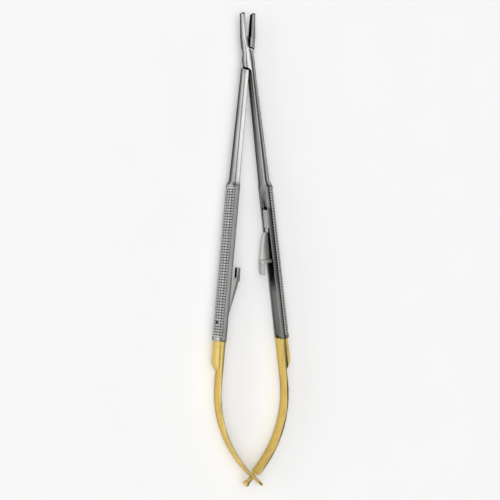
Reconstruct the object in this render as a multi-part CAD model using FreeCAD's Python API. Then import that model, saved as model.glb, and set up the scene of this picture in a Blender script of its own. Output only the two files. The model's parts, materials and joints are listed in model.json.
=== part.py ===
"""Spring-handled surgical needle holder with a side-swinging catch, lying on its back.

+Y points to the jaws, +X to the right handle, +Z up. Every piece is drawn in the closed frame first:
the pivot is at the origin, the jaws are shut on the plane x = 0 and z = 0 is the lap joint.
Pieces on a handle are drawn in the handle's own frame, where its inner flat is the plane x = 0.
The two halves are then swung open about the pivot and the whole is set down on its back.
"""

import FreeCAD, Part

import math
import os

V = FreeCAD.Vector
ORIGIN = V(0, 0, 0)
X_AXIS = V(1, 0, 0)
Y_AXIS = V(0, 1, 0)
Z_AXIS = V(0, 0, 1)
# Past every surface, for cutters that go right through
FAR = 400.0
# How far a cutter starts before the face that it cuts into
CUT_MARGIN = 1.0

# Opening of each half at rest, in degrees
JAW_OPEN = 4.45
HANDLE_OPEN = 6.0

# Jaws and the hard inserts brazed into them
JAW_REACH = 17.8
JAW_ROOT_RADIUS = 2.18
JAW_BELLY_RADIUS = 2.24
JAW_BELLY_AT = 8.4
JAW_TIP_RADIUS = 1.75
JAW_ROOT_HALF_DEPTH = 1.92
JAW_TIP_HALF_DEPTH = 1.3
JAW_NOSE_ROUND = 0.95
JAW_FACE_GAP = 0.01
INSERT_LENGTH = 9.4
INSERT_THICKNESS = 0.6

# Lap joint, turned as a barrel, with a round corner where its disc meets each flat,
# small at the jaw and large at the arm
WAIST_RADIUS = 2.02
WAIST_AT = 2.4
LAP_BARREL_RADIUS = 2.42
LAP_RADIUS = 3.55
LAP_SHOULDER_GAP = 0.95
LAP_FACE_GAP = 0.02
LAP_CORNER_RADIUS = 0.9
LAP_ARM_CORNER_RADIUS = 2.2

# Pivot screw, its head at the back
SCREW_RADIUS = 1.0
SCREW_HEAD_RADIUS = 1.55
SCREW_CONE_HEIGHT = 0.55
SCREW_SLOT_WIDTH = 0.5
SCREW_SLOT_DEPTH = 0.55
SCREW_SLOT_TURN = 25.0
RUNNING_FIT = 0.03
SEAT_FIT = 0.01

# Arms and handles
ARM_NECK_RADIUS = 2.38
ARM_NECK_AT = 8.0
ARM_END_RADIUS = 3.1
ARM_LENGTH = 46.6
SHOULDER_DROP = 0.2
SHOULDER_LENGTH = 1.6
SHOULDER_ROUND = 0.8
HANDLE_RADIUS = 4.12
HANDLE_END = 106.9
HANDLE_HALF_DEPTH = 4.0
HANDLE_END_CHAMFER = 0.3

# Knurl on the round back of each handle: flat columns crossed by ring grooves
KNURL_COLUMNS = 8
KNURL_COLUMN_TURN = 16.4
KNURL_PITCH = 1.03
KNURL_LAND = 0.63
KNURL_DEPTH = 0.17
KNURL_END_MARGIN = 0.2

# Channel milled along the inner flat of each handle
CHANNEL_HALF_WIDTH = 3.2
CHANNEL_DEPTH = 0.8
CHANNEL_START = 50.0
CHANNEL_RAMP = 6.6

# Leaf springs: a half-round root, a ramp, a bent leaf and the crossing at the end
SPRING_ROOT_RADIUS = 3.7
SPRING_HALF_WIDTH = 3.4
SPRING_ROOT_LENGTH = 8.2
SPRING_RAMP_LENGTH = 3.4
SPRING_STRAIGHT = 4.5
SPRING_THICKNESS = 0.8
SPRING_BEND_RADIUS = 43.3
# How far the leaf reaches back into the ramp that carries it
LEAF_OVERLAP = 0.5
SLOT_TAIL = 5.4
SLOT_HALF_WIDTH = 2.2
SLOT_BEFORE_CROSSING = 1.9
SLOT_END_BAR = 1.1
TONGUE_TAIL = 3.6
TONGUE_HALF_WIDTH = 1.3
TONGUE_SHOULDER = 1.7
TONGUE_CURL_RADIUS = 0.9
STUD_RADIUS = 0.9
STUD_LENGTH = 8.0
STUD_INSET = 2.35

# Catch lever, in distances down the right handle and heights off its flat
POCKET_TOP = 56.2
POCKET_BOTTOM = 65.3
POCKET_DEPTH = 2.2
POCKET_HALF_WIDTH = 3.0
LEVER_PIN_AT = 60.8
LEVER_PIN_RADIUS = 0.75
LEVER_PIN_HEAD_RADIUS = 1.15
LEVER_PIN_HEAD_DEPTH = 0.4
HUB_LENGTH = 6.8
HUB_HALF_WIDTH = 2.45
HUB_THICKNESS = 1.4
LEVER_RECESS = 0.15
LEVER_HALF_WIDTH = 1.6
LEVER_BAR_THICKNESS = 0.5
LEVER_SWING = 4.25
WEDGE_TOP = 66.0
WEDGE_TOP_HEIGHT = 0.8
WEDGE_MIDDLE_AT = 70.5
WEDGE_MIDDLE_HEIGHT = 2.15
WEDGE_HEIGHT = 3.45
WEDGE_RELIEF = 2.0
LEDGE_AT = 77.5
LEDGE_THICKNESS = 1.1
HOOK_MIDDLE = 80.5
HOOK_GAP = 0.2
HOOK_HEIGHT = 3.6
HOOK_THICKNESS = 1.0
HOOK_END = 82.0
NOTCH_WIDTH = 0.5
NOTCH_DEPTH = 0.35
NOTCH_TILT = 28.0

# Fixed catch, in distances down the left handle, its foot set out from the handle's end
PRONG_THICKNESS = 1.35
PRONG_TIP_AT = 79.0
PRONG_ROOT_AT = 82.9
FOOT_TO_HANDLE_END = 4.3
FOOT_LENGTH = 4.6
RIVET_INSET = 2.6
CATCH_INNER_Z = 0.55
RIVET_RADIUS = 0.65

# Hairpin spring of flat strip under the lever's hub
HAIRPIN_STRIP_WIDTH = 0.5
HAIRPIN_STRIP_THICKNESS = 0.3
HAIRPIN_BEND_RADIUS = 1.15
HAIRPIN_LONG_LEG = 3.6
HAIRPIN_SHORT_LEG = 2.6
HAIRPIN_LIFT = 0.05

# Worked out from the sizes above
HANDLE_SPLAY = HANDLE_OPEN - JAW_OPEN
RELIEF_RADIUS = LAP_RADIUS + LAP_SHOULDER_GAP
HANDLE_TOP = ARM_LENGTH + SHOULDER_LENGTH
SHOULDER_RADIUS = HANDLE_RADIUS - SHOULDER_DROP
KNURL_START = HANDLE_TOP + SHOULDER_ROUND + KNURL_END_MARGIN
KNURL_END = HANDLE_END - HANDLE_END_CHAMFER - KNURL_END_MARGIN
KNURL_HALF_TURN = math.radians(KNURL_COLUMN_TURN / 2)
KNURL_CREST = HANDLE_RADIUS * math.cos(KNURL_HALF_TURN)
LEAF_START = HANDLE_END + SPRING_ROOT_LENGTH + SPRING_RAMP_LENGTH
BEND_START = LEAF_START + SPRING_STRAIGHT
LEVER_PIN = V(0, -LEVER_PIN_AT, 0)
CATCH_FOOT_END = HANDLE_END - FOOT_TO_HANDLE_END
CATCH_BACK_END = CATCH_FOOT_END - FOOT_LENGTH
RIVET_AT = CATCH_FOOT_END - RIVET_INSET


def spun(shape, axis, degrees, centre=ORIGIN):
    return shape.rotated(centre, axis, degrees)


def fused(shapes):
    return shapes[0].fuse(shapes[1:]).removeSplitter()


def line(start, end):
    return Part.LineSegment(V(*start), V(*end)).toShape()


def arc(start, middle, end):
    return Part.Arc(V(*start), V(*middle), V(*end)).toShape()


def face_inside(edges):
    """The flat face inside edges that are given in order."""
    return Part.Face(Part.Wire(edges))


def polygon(corners):
    points = [V(x, y, 0) for x, y in corners]
    return Part.Face(Part.makePolygon(points + points[:1]))


def plate(face, z_low, z_high):
    """A face in the plane z = 0 made a plate between two heights."""
    return face.translated(V(0, 0, z_low)).extrude(V(0, 0, z_high - z_low))


def block(x_low, x_high, y_low, y_high, z_low, z_high):
    return Part.makeBox(x_high - x_low, y_high - y_low, z_high - z_low, V(x_low, y_low, z_low))


def cross_pin(radius, down, z, x_low=0.0):
    """A long cylinder through a handle, square to its inner flat."""
    return Part.makeCylinder(radius, FAR, V(x_low, -down, z), X_AXIS)


def turned(profile):
    """A solid turned about the Y axis from (radius, y) corners that start and end on that axis."""
    return polygon(profile).revolve(ORIGIN, Y_AXIS, 360)


def turned_body():
    """The instrument as it is turned from bar, before it is split into halves."""
    return turned(
        [
            (0, JAW_REACH),
            (JAW_TIP_RADIUS, JAW_REACH),
            (JAW_TIP_RADIUS, JAW_REACH - JAW_TIP_RADIUS),
            (JAW_BELLY_RADIUS, JAW_BELLY_AT),
            (JAW_ROOT_RADIUS, RELIEF_RADIUS),
            (WAIST_RADIUS, WAIST_AT),
            (LAP_BARREL_RADIUS, 0),
            (ARM_NECK_RADIUS, -ARM_NECK_AT),
            (ARM_END_RADIUS, -ARM_LENGTH),
            (SHOULDER_RADIUS, -HANDLE_TOP),
            (HANDLE_RADIUS, -HANDLE_TOP - SHOULDER_ROUND),
            (HANDLE_RADIUS, -HANDLE_END + HANDLE_END_CHAMFER),
            (HANDLE_RADIUS - HANDLE_END_CHAMFER, -HANDLE_END),
            (0, -HANDLE_END),
        ]
    )


def handle_bar():
    """The handle as a plain bar, which the ends of its pins are dressed flush to."""
    return turned([(0, 0), (KNURL_CREST, 0), (KNURL_CREST, -HANDLE_END), (0, -HANDLE_END)])


def sector(half_turn):
    """An endless wedge about +X, with its edge on the Y axis."""
    side = FAR * math.tan(half_turn)
    return spun(plate(polygon([(0, 0), (FAR, -side), (FAR, side)]), -FAR, FAR), X_AXIS, 90)


def knurl_column():
    """One flat column of the knurl with its ring grooves, as a wedge from the handle's axis."""
    half_groove = (KNURL_PITCH - KNURL_LAND) / 2
    profile = [(0, -KNURL_START), (KNURL_CREST, -KNURL_START)]
    for row in range(int((KNURL_END - KNURL_START) / KNURL_PITCH)):
        y = -KNURL_START - KNURL_LAND - row * KNURL_PITCH
        floor = (KNURL_CREST - KNURL_DEPTH, y - half_groove)
        profile += [(KNURL_CREST, y), floor, (KNURL_CREST, y - 2 * half_groove)]
    profile += [(KNURL_CREST, -KNURL_END), (0, -KNURL_END)]
    return plate(polygon(profile), -HANDLE_RADIUS, HANDLE_RADIUS).common(sector(KNURL_HALF_TURN))


def knurled(bar):
    """The +X bar with the knurl in place of the middle of its round back."""
    blank = sector(KNURL_COLUMNS * KNURL_HALF_TURN).common(block(0, FAR, -KNURL_END, -KNURL_START, -FAR, FAR))
    column = knurl_column()
    first = -(KNURL_COLUMNS - 1) / 2
    turns = [(first + i) * KNURL_COLUMN_TURN for i in range(KNURL_COLUMNS)]
    return fused([bar.cut(blank)] + [spun(column, Y_AXIS, turn) for turn in turns])


def jaw_outline():
    """The -X jaw seen square to the lap, with its round nose."""
    nose = JAW_TIP_RADIUS / 2
    shoulder = JAW_REACH - nose
    return face_inside(
        [
            line((-FAR, 0), (0, 0)),
            line((0, 0), (0, shoulder)),
            arc((0, shoulder), (-nose, JAW_REACH), (-2 * nose, shoulder)),
            line((-2 * nose, shoulder), (-FAR, shoulder)),
            line((-FAR, shoulder), (-FAR, 0)),
        ]
    )


def jaw_side():
    """The jaw seen from the side: narrowing to the tip, whose corners are round."""
    nose = JAW_TIP_HALF_DEPTH - JAW_NOSE_ROUND
    shoulder = JAW_REACH - JAW_NOSE_ROUND
    diagonal = JAW_NOSE_ROUND * math.sqrt(0.5)
    return face_inside(
        [
            line((-LAP_BARREL_RADIUS, 0), (LAP_BARREL_RADIUS, 0)),
            line((LAP_BARREL_RADIUS, 0), (JAW_ROOT_HALF_DEPTH, RELIEF_RADIUS)),
            line((JAW_ROOT_HALF_DEPTH, RELIEF_RADIUS), (JAW_TIP_HALF_DEPTH, shoulder)),
            arc((JAW_TIP_HALF_DEPTH, shoulder), (nose + diagonal, shoulder + diagonal), (nose, JAW_REACH)),
            line((nose, JAW_REACH), (-nose, JAW_REACH)),
            arc((-nose, JAW_REACH), (-nose - diagonal, shoulder + diagonal), (-JAW_TIP_HALF_DEPTH, shoulder)),
            line((-JAW_TIP_HALF_DEPTH, shoulder), (-JAW_ROOT_HALF_DEPTH, RELIEF_RADIUS)),
            line((-JAW_ROOT_HALF_DEPTH, RELIEF_RADIUS), (-LAP_BARREL_RADIUS, 0)),
        ]
    )


def jaw_body():
    """The whole -X jaw, insert and all: round outside, flat above and below."""
    slab = spun(plate(jaw_side(), -FAR, FAR), Y_AXIS, 90)
    return turned_body().common(plate(jaw_outline(), -FAR, FAR)).common(slab)


def jaw_insert():
    start = JAW_REACH - INSERT_LENGTH
    bed = block(-INSERT_THICKNESS, -JAW_FACE_GAP, start, FAR, -FAR, FAR)
    return jaw_body().common(bed)


def corner_web(radius):
    """The round corner between the lap disc and a flat, on the disc's +X +Y side."""
    reach = math.sqrt((LAP_RADIUS + radius) ** 2 - radius**2)
    centre = V(radius, reach, 0)
    touch = centre * (LAP_RADIUS / centre.Length)
    towards_corner = -(centre / centre.Length + X_AXIS)
    middle = centre + towards_corner * (radius / towards_corner.Length)
    return face_inside(
        [
            line(ORIGIN, (0, reach, 0)),
            arc((0, reach, 0), middle, touch),
            line(touch, ORIGIN),
        ]
    )


def half_blank():
    """A steel half with the -X jaw, the lap on the +Z side and the +X arm and handle."""
    body = turned_body()
    arm_side = block(0, FAR, -FAR, 0, -HANDLE_HALF_DEPTH, HANDLE_HALF_DEPTH)
    arm = to_closed(knurled(body.common(arm_side)))
    insert_bed = block(-INSERT_THICKNESS, FAR, JAW_REACH - INSERT_LENGTH, FAR, -FAR, FAR)
    face_relief = block(-JAW_FACE_GAP, FAR, -FAR, FAR, -FAR, FAR)
    jaw = jaw_body().cut([insert_bed, face_relief])
    relief = Part.makeCylinder(RELIEF_RADIUS, FAR, V(0, 0, LAP_FACE_GAP / 2), -Z_AXIS)
    disc = Part.makeCylinder(LAP_RADIUS, FAR, V(0, 0, LAP_FACE_GAP / 2), Z_AXIS)
    arm_corner = spun(corner_web(LAP_ARM_CORNER_RADIUS), Z_AXIS, 180 + HANDLE_SPLAY)
    corners = [corner_web(LAP_CORNER_RADIUS), arm_corner]
    webs = [plate(corner, LAP_FACE_GAP / 2, FAR) for corner in corners]
    lap = body.common(fused([disc] + webs))
    return fused([arm.cut(relief), jaw.cut(relief), lap])


def to_closed(shape):
    """Moves a piece from the +X handle's own frame to the closed frame."""
    return spun(shape, Z_AXIS, HANDLE_SPLAY)


def other_side(shape):
    """Turns a piece over from the front half to its place on the back half."""
    return spun(shape, Y_AXIS, 180)


def channel():
    """Cutter for the channel, with the ramp where the mill runs out."""
    ramp_end = CHANNEL_START + CHANNEL_RAMP
    side = [
        (-CUT_MARGIN, -CHANNEL_START),
        (0, -CHANNEL_START),
        (CHANNEL_DEPTH, -ramp_end),
        (CHANNEL_DEPTH, -FAR),
        (-CUT_MARGIN, -FAR),
    ]
    return plate(polygon(side), -CHANNEL_HALF_WIDTH, CHANNEL_HALF_WIDTH)


def stud(clearance=0.0):
    """The stud on a spring's root, or its hole in the handle."""
    foot = V(STUD_INSET, -HANDLE_END, 0)
    return Part.makeCylinder(STUD_RADIUS + clearance, STUD_LENGTH + clearance, foot, Y_AXIS)


def front_half():
    """Front lap, left jaw and right handle, with the pocket for the catch lever's hub."""
    pocket = block(
        -CUT_MARGIN, POCKET_DEPTH, -POCKET_BOTTOM, -POCKET_TOP, -POCKET_HALF_WIDTH, POCKET_HALF_WIDTH
    )
    pin_hole = cross_pin(LEVER_PIN_RADIUS + SEAT_FIT, LEVER_PIN_AT, 0)
    cutters = [channel(), pocket, stud(SEAT_FIT), pin_hole]
    screw_hole = Part.makeCylinder(SCREW_RADIUS + SEAT_FIT, 2 * FAR, V(0, 0, -FAR), Z_AXIS)
    return half_blank().cut([to_closed(c) for c in cutters] + [screw_hole])


def back_half():
    """Back lap, right jaw and left handle, with the rivet hole for the fixed catch."""
    cutters = [to_closed(c) for c in (channel(), stud(SEAT_FIT), rivet(SEAT_FIT))]
    return other_side(half_blank().cut(cutters)).cut(screw(RUNNING_FIT))


def screw(clearance=0.0):
    """The screw before its ends are dressed, or its hole in the back half."""
    shank = Part.makeCylinder(SCREW_RADIUS + clearance, 2 * FAR, V(0, 0, -FAR), Z_AXIS)
    rim_z = -LAP_BARREL_RADIUS + SCREW_SLOT_DEPTH
    head_radius = SCREW_HEAD_RADIUS + clearance
    cone = Part.makeCone(
        head_radius, SCREW_RADIUS + clearance, SCREW_CONE_HEIGHT, V(0, 0, rim_z), Z_AXIS
    )
    rim = Part.makeCylinder(head_radius, FAR, V(0, 0, rim_z), -Z_AXIS)
    return fused([shank, cone, rim])


def pivot_screw():
    """Both ends are dressed flush with the lap's barrel, and the head has a slot."""
    half_slot = SCREW_SLOT_WIDTH / 2
    floor_z = -LAP_BARREL_RADIUS + SCREW_SLOT_DEPTH
    slot = spun(block(-FAR, FAR, -half_slot, half_slot, -FAR, floor_z), Z_AXIS, SCREW_SLOT_TURN)
    return screw().common(turned_body()).cut(slot)


def bend_turn():
    """Degrees a leaf turns from its handle's line to the crossing, midway between the halves."""
    rest = math.radians(HANDLE_OPEN)
    inner = (SPRING_BEND_RADIUS - SPRING_THICKNESS / 2) * math.cos(rest) - BEND_START * math.sin(rest)
    return HANDLE_OPEN + math.degrees(math.acos(inner / SPRING_BEND_RADIUS))


def leaf_line(offset, tail):
    """Corner points of a line along the leaf, set out from its middle by an offset."""
    middle_x = SPRING_THICKNESS / 2
    centre = V(middle_x - SPRING_BEND_RADIUS, -BEND_START, 0)
    radius = SPRING_BEND_RADIUS + offset
    turn = math.radians(bend_turn())
    start = V(middle_x + offset, -LEAF_START + LEAF_OVERLAP, 0)
    bend = V(middle_x + offset, -BEND_START, 0)
    halfway = centre + V(math.cos(turn / 2), -math.sin(turn / 2), 0) * radius
    crossing = centre + V(math.cos(turn), -math.sin(turn), 0) * radius
    end = crossing + V(-math.sin(turn), -math.cos(turn), 0) * tail
    return start, bend, halfway, crossing, end


def leaf(tail):
    """The bent leaf at its full width, its tail going straight on past the crossing."""
    half = SPRING_THICKNESS / 2
    a_start, a_bend, a_half, a_cross, a_end = leaf_line(half, tail)
    b_start, b_bend, b_half, b_cross, b_end = leaf_line(-half, tail)
    side = face_inside(
        [
            line(a_start, a_bend),
            arc(a_bend, a_half, a_cross),
            line(a_cross, a_end),
            line(a_end, b_end),
            line(b_end, b_cross),
            arc(b_cross, b_half, b_bend),
            line(b_bend, b_start),
            line(b_start, a_start),
        ]
    )
    return plate(side, -SPRING_HALF_WIDTH, SPRING_HALF_WIDTH)


def at_crossing(shape):
    """Moves a cutter drawn along -Y from the origin to the crossing, along the leaf's tail."""
    crossing = leaf_line(0, 0)[3]
    return spun(shape, Z_AXIS, -bend_turn()).translated(crossing)


def spring_root():
    """Half-round root with its stud, milled down by a ramp to the leaf."""
    bar_end = -HANDLE_END - SPRING_ROOT_LENGTH
    side = [
        (0, -HANDLE_END),
        (SPRING_ROOT_RADIUS, -HANDLE_END),
        (SPRING_ROOT_RADIUS, bar_end),
        (SPRING_THICKNESS, -LEAF_START),
        (0, -LEAF_START),
    ]
    half_round = Part.makeCylinder(SPRING_ROOT_RADIUS, FAR, V(0, -HANDLE_END, 0), -Y_AXIS)
    return plate(polygon(side), -SPRING_HALF_WIDTH, SPRING_HALF_WIDTH).common(half_round).fuse(stud())


def round_end(half_width, before, after):
    """A long hole's form in the leaf's own plane: square above, round below, through the leaf."""
    through = 2 * SPRING_THICKNESS
    body = block(-through, through, -after + half_width, before, -half_width, half_width)
    end = Part.makeCylinder(half_width, 2 * through, V(-through, -after + half_width, 0), X_AXIS)
    return fused([body, end])


def left_spring():
    """The leaf whose end has the long slot, drawn on the +X side and turned over."""
    window = round_end(SLOT_HALF_WIDTH, SLOT_BEFORE_CROSSING, SLOT_TAIL - SLOT_END_BAR)
    nose_y = -SLOT_TAIL + SPRING_HALF_WIDTH
    nose = round_end(SPRING_HALF_WIDTH, FAR, SLOT_TAIL)
    corners = block(-FAR, FAR, -FAR, nose_y, -FAR, FAR).cut(nose)
    blade = leaf(SLOT_TAIL).cut([at_crossing(window), at_crossing(corners)])
    return other_side(to_closed(fused([spring_root(), blade])))


def right_spring():
    """The leaf that narrows to a tongue, which goes through the slot and ends in a curl."""
    through = 2 * SPRING_THICKNESS
    sides = [
        block(-through, through, -FAR, TONGUE_SHOULDER, low, low + FAR)
        for low in (TONGUE_HALF_WIDTH, -TONGUE_HALF_WIDTH - FAR)
    ]
    curl = Part.makeCylinder(
        TONGUE_CURL_RADIUS, 2 * TONGUE_HALF_WIDTH, V(0, -TONGUE_TAIL, -TONGUE_HALF_WIDTH), Z_AXIS
    )
    blade = leaf(TONGUE_TAIL).cut([at_crossing(s) for s in sides])
    return to_closed(fused([spring_root(), blade, at_crossing(curl)]))


def half_gap(down):
    """From the plane between the halves to a handle's flat, with the jaws shut."""
    return down * math.tan(math.radians(HANDLE_SPLAY))


def hook_face():
    """X of the lever's hooking face with the jaws shut."""
    return half_gap(HOOK_MIDDLE) - HOOK_HEIGHT + HOOK_THICKNESS


def rivet(clearance=0.0):
    """The fixed catch's rivet, as it would lie on the +X handle, or its hole."""
    z = -(CATCH_INNER_Z + CHANNEL_HALF_WIDTH) / 2
    return cross_pin(RIVET_RADIUS + clearance, RIVET_AT, z)


def catch_rivet():
    return other_side(to_closed(rivet().common(handle_bar())))


def fixed_catch():
    """Foot against the channel's wall, a sloping back and a prong that points to the jaws."""
    prong_low = hook_face() + HOOK_GAP
    prong_high = prong_low + PRONG_THICKNESS
    z_range = (CATCH_INNER_Z, CHANNEL_HALF_WIDTH)
    prong = block(prong_low, prong_high, -PRONG_ROOT_AT - PRONG_THICKNESS, -PRONG_TIP_AT, *z_range)
    side = [
        (CHANNEL_DEPTH, -PRONG_ROOT_AT),
        (-prong_high - half_gap(PRONG_ROOT_AT), -PRONG_ROOT_AT),
        (0, -CATCH_BACK_END),
        (0, -CATCH_FOOT_END),
        (CHANNEL_DEPTH, -CATCH_FOOT_END),
    ]
    body = plate(polygon(side), -CHANNEL_HALF_WIDTH, -CATCH_INNER_Z).cut(rivet(SEAT_FIT))
    return fused([other_side(to_closed(body)), prong])


def lever_pin_form(clearance=0.0):
    """The lever's pin before its end is dressed, or with a clearance the hole in the hub."""
    shank = cross_pin(LEVER_PIN_RADIUS + clearance, LEVER_PIN_AT, 0, LEVER_RECESS)
    head = Part.makeCone(
        LEVER_PIN_HEAD_RADIUS + clearance,
        LEVER_PIN_RADIUS + clearance,
        LEVER_PIN_HEAD_DEPTH,
        V(LEVER_RECESS, -LEVER_PIN_AT, 0),
        X_AXIS,
    )
    return shank.fuse(head)


def lever_pin():
    return to_closed(lever_pin_form().common(handle_bar()))


def lever_wedge():
    """Bar in the channel and the wedge that rises from it, milled down in front as far as the ledge."""
    bar_x = LEVER_RECESS + LEVER_BAR_THICKNESS
    side = face_inside(
        [
            line((bar_x, -LEVER_PIN_AT), (LEVER_RECESS, -LEVER_PIN_AT)),
            line((LEVER_RECESS, -LEVER_PIN_AT), (LEVER_RECESS, -WEDGE_TOP)),
            line((LEVER_RECESS, -WEDGE_TOP), (-WEDGE_TOP_HEIGHT, -WEDGE_TOP)),
            arc(
                (-WEDGE_TOP_HEIGHT, -WEDGE_TOP),
                (-WEDGE_MIDDLE_HEIGHT, -WEDGE_MIDDLE_AT),
                (-WEDGE_HEIGHT, -LEDGE_AT),
            ),
            line((-WEDGE_HEIGHT, -LEDGE_AT), (bar_x, -LEDGE_AT)),
            line((bar_x, -LEDGE_AT), (bar_x, -LEVER_PIN_AT)),
        ]
    )
    milled = block(
        -FAR, FAR, -LEDGE_AT + LEDGE_THICKNESS, -WEDGE_TOP, LEVER_HALF_WIDTH - WEDGE_RELIEF, FAR
    )
    return plate(side, -LEVER_HALF_WIDTH, LEVER_HALF_WIDTH).cut(milled)


def catch_lever():
    """Hub in the pocket, wedge and hook, swung to the channel's back wall."""
    hub = block(
        LEVER_RECESS,
        LEVER_RECESS + HUB_THICKNESS,
        -LEVER_PIN_AT - HUB_LENGTH / 2,
        -LEVER_PIN_AT + HUB_LENGTH / 2,
        -HUB_HALF_WIDTH,
        HUB_HALF_WIDTH,
    )
    outer_x = hook_face() - HOOK_THICKNESS
    hook = block(
        outer_x, hook_face(), -HOOK_END, -LEDGE_AT + HOOK_THICKNESS, -LEVER_HALF_WIDTH, LEVER_HALF_WIDTH
    )
    hook = spun(hook, Z_AXIS, -HANDLE_SPLAY)
    half_notch = NOTCH_WIDTH / 2
    notch = block(-FAR, -HOOK_HEIGHT + NOTCH_DEPTH, -half_notch, half_notch, -FAR, FAR)
    notch = spun(notch, X_AXIS, NOTCH_TILT).translated(V(0, -LEDGE_AT, 0))
    lever = fused([hub, lever_wedge(), hook]).cut([lever_pin_form(RUNNING_FIT), notch])
    return to_closed(spun(lever, X_AXIS, LEVER_SWING, LEVER_PIN))


def lever_spring():
    """Hairpin of flat strip bent round the pin, its legs lying under the hub."""
    high_x = POCKET_DEPTH - HAIRPIN_LIFT
    x_range = (high_x - HAIRPIN_STRIP_WIDTH, high_x)
    outer = HAIRPIN_BEND_RADIUS + HAIRPIN_STRIP_THICKNESS / 2
    inner = HAIRPIN_BEND_RADIUS - HAIRPIN_STRIP_THICKNESS / 2
    bend, bore = [
        cross_pin(radius, LEVER_PIN_AT, 0, x_range[0]).common(
            block(*x_range, -LEVER_PIN_AT, -LEVER_PIN_AT + outer, -outer, outer)
        )
        for radius in (outer, inner)
    ]
    long_leg = block(*x_range, -LEVER_PIN_AT - HAIRPIN_LONG_LEG, -LEVER_PIN_AT, inner, outer)
    short_leg = block(*x_range, -LEVER_PIN_AT - HAIRPIN_SHORT_LEG, -LEVER_PIN_AT, -outer, -inner)
    return to_closed(fused([bend.cut(bore), long_leg, short_leg]))


def opened(shapes, degrees):
    return {name: spun(shape, Z_AXIS, degrees) for name, shape in shapes.items()}


def assembly():
    """Every piece in the closed frame, swung open by half of the travel on each side."""
    front = {
        "front_half": front_half(),
        "front_jaw_insert": jaw_insert(),
        "pivot_screw": pivot_screw(),
        "right_spring": right_spring(),
        "catch_lever": catch_lever(),
        "lever_pin": lever_pin(),
        "lever_spring": lever_spring(),
    }
    back = {
        "back_half": back_half(),
        "back_jaw_insert": other_side(jaw_insert()),
        "left_spring": left_spring(),
        "fixed_catch": fixed_catch(),
        "catch_rivet": catch_rivet(),
    }
    return {**opened(front, JAW_OPEN), **opened(back, -JAW_OPEN)}


def set_down(pieces):
    """Moves the origin to the middle of the underside of the whole."""
    box = Part.makeCompound(list(pieces.values())).optimalBoundingBox(False, False)
    shift = V(-(box.XMin + box.XMax) / 2, -(box.YMin + box.YMax) / 2, -box.ZMin)
    print("pivot at", [round(c, 4) for c in shift])
    return {name: shape.translated(shift) for name, shape in pieces.items()}


def main():
    os.makedirs("parts", exist_ok=True)
    for name, shape in set_down(assembly()).items():
        shape.exportStep(os.path.join("parts", name + ".step"))
        print(name, "solids", len(shape.Solids), "valid", shape.isValid(), "volume", shape.Volume)


main()
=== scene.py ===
"""Spring-handled surgical needle holder: its knurl, polish, plating and the studio it lies in.

The pieces are modelled in millimetres in the closed frame: the pivot is at the origin, the jaws are shut
on the plane x = 0 and z = 0 is the lap joint. A handle's own frame has its inner flat in the plane x = 0,
with the steel on the +X side. Each piece is then swung open and set where the frame has its node.
"""

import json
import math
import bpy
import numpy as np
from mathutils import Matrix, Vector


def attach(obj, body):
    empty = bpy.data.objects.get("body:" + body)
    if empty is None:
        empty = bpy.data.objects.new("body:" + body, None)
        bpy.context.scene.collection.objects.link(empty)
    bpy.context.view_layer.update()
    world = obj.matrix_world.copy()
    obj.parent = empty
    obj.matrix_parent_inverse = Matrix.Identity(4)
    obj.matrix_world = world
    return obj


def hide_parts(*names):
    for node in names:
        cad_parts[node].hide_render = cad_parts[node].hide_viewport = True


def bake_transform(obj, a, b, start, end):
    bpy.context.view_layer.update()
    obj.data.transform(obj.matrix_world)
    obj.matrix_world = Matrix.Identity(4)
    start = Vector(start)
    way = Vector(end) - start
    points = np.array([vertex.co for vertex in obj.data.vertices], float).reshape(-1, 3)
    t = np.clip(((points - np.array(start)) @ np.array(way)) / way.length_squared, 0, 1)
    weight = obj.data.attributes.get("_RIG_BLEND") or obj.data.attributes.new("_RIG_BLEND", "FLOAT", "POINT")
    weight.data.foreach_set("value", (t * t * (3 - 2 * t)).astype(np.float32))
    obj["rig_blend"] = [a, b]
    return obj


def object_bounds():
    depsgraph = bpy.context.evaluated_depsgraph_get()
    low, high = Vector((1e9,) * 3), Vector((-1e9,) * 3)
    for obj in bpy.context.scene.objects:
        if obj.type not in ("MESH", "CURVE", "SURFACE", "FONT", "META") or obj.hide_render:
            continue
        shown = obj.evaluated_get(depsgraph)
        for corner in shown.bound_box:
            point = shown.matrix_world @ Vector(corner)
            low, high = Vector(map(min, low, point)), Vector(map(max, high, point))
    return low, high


bl_info = {
    "name": "Surgical needle holder",
    "version": (1, 0, 0),
    "blender": (4, 5, 0),
    "location": "View3D > Sidebar > Needle holder",
    "description": "Knurled handles, hatched inserts, plated leaf springs and catch on a pale table",
    "category": "Object",
}

import bmesh
import bpy
from mathutils import Matrix, Vector

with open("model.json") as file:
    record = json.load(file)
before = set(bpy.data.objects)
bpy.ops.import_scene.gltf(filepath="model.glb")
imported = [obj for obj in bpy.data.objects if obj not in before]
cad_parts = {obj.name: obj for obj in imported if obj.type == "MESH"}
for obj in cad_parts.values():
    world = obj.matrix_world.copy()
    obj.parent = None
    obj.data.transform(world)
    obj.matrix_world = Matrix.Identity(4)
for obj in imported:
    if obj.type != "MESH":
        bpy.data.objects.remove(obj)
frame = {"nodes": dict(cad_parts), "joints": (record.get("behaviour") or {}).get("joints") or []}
cad_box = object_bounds()

JOINTS = {joint["name"]: joint for joint in frame["joints"]}
PIVOT = Vector(JOINTS["jaw_pivot"]["pos_m"])
LEVER_AXIS = Vector(JOINTS["lever_swing"]["axis"])

MM = 0.001
# Past every surface of the instrument, in millimetres, for cutters that go right through
FAR = 400.0
# How far a cutter or a bar starts before the face that it works on
RUN_IN = 1.0
ORIGIN = Vector((0, 0, 0))
X_AXIS = Vector((1, 0, 0))
Y_AXIS = Vector((0, 1, 0))
Z_AXIS = Vector((0, 0, 1))

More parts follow.
